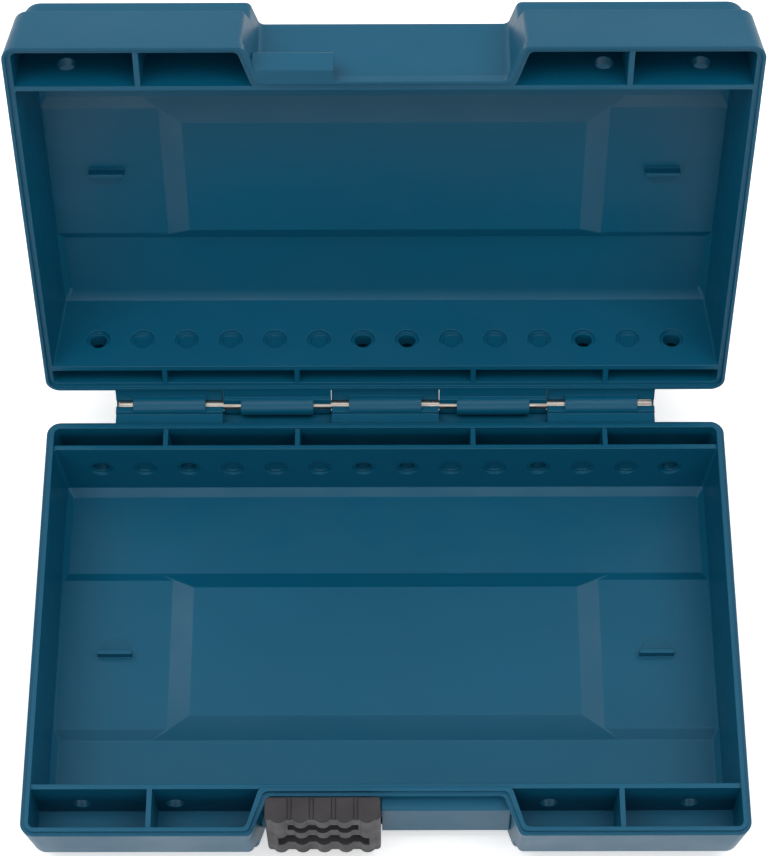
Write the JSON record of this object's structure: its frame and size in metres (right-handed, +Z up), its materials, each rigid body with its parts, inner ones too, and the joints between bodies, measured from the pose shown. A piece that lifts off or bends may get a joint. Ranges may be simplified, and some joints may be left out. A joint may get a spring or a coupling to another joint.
{
  "type": "compartment storage box",
  "caption": "Hinged plastic storage case, shown open: base and lid shells with edge cells and raised floor panels, on a steel hinge pin, with a ridged front catch.",
  "frame": {"origin": "centre of the open box's bounding box, on the surface that the base stands on", "axes": "+X to the right along the hinge, -Y to the front with the catch, +Z up"},
  "size_m": [0.28, 0.2676, 0.2173],
  "materials": {
    "shell_plastic": "satin moulded blue-green",
    "pin_steel": "plain drawn steel",
    "catch_plastic": "matt moulded black"
  },
  "bodies": {
    "base": {"base_shell": "shell_plastic", "hinge_pin": "pin_steel"},
    "lid": {"lid_shell": "shell_plastic"},
    "catch": {"catch": "catch_plastic"}
  },
  "joints": [
    {"name": "lid_hinge", "type": "hinge", "parent": "base", "child": "lid", "pos_m": [0, 0.05583, 0.033], "axis": [1, 0, 0], "range_deg": [0, 103.5]},
    {"name": "catch_pivot", "type": "hinge", "parent": "base", "child": "catch", "pos_m": [0, -0.11977, 0.013], "axis": [1, 0, 0], "range_deg": [-3.27, 60]}
  ]
}
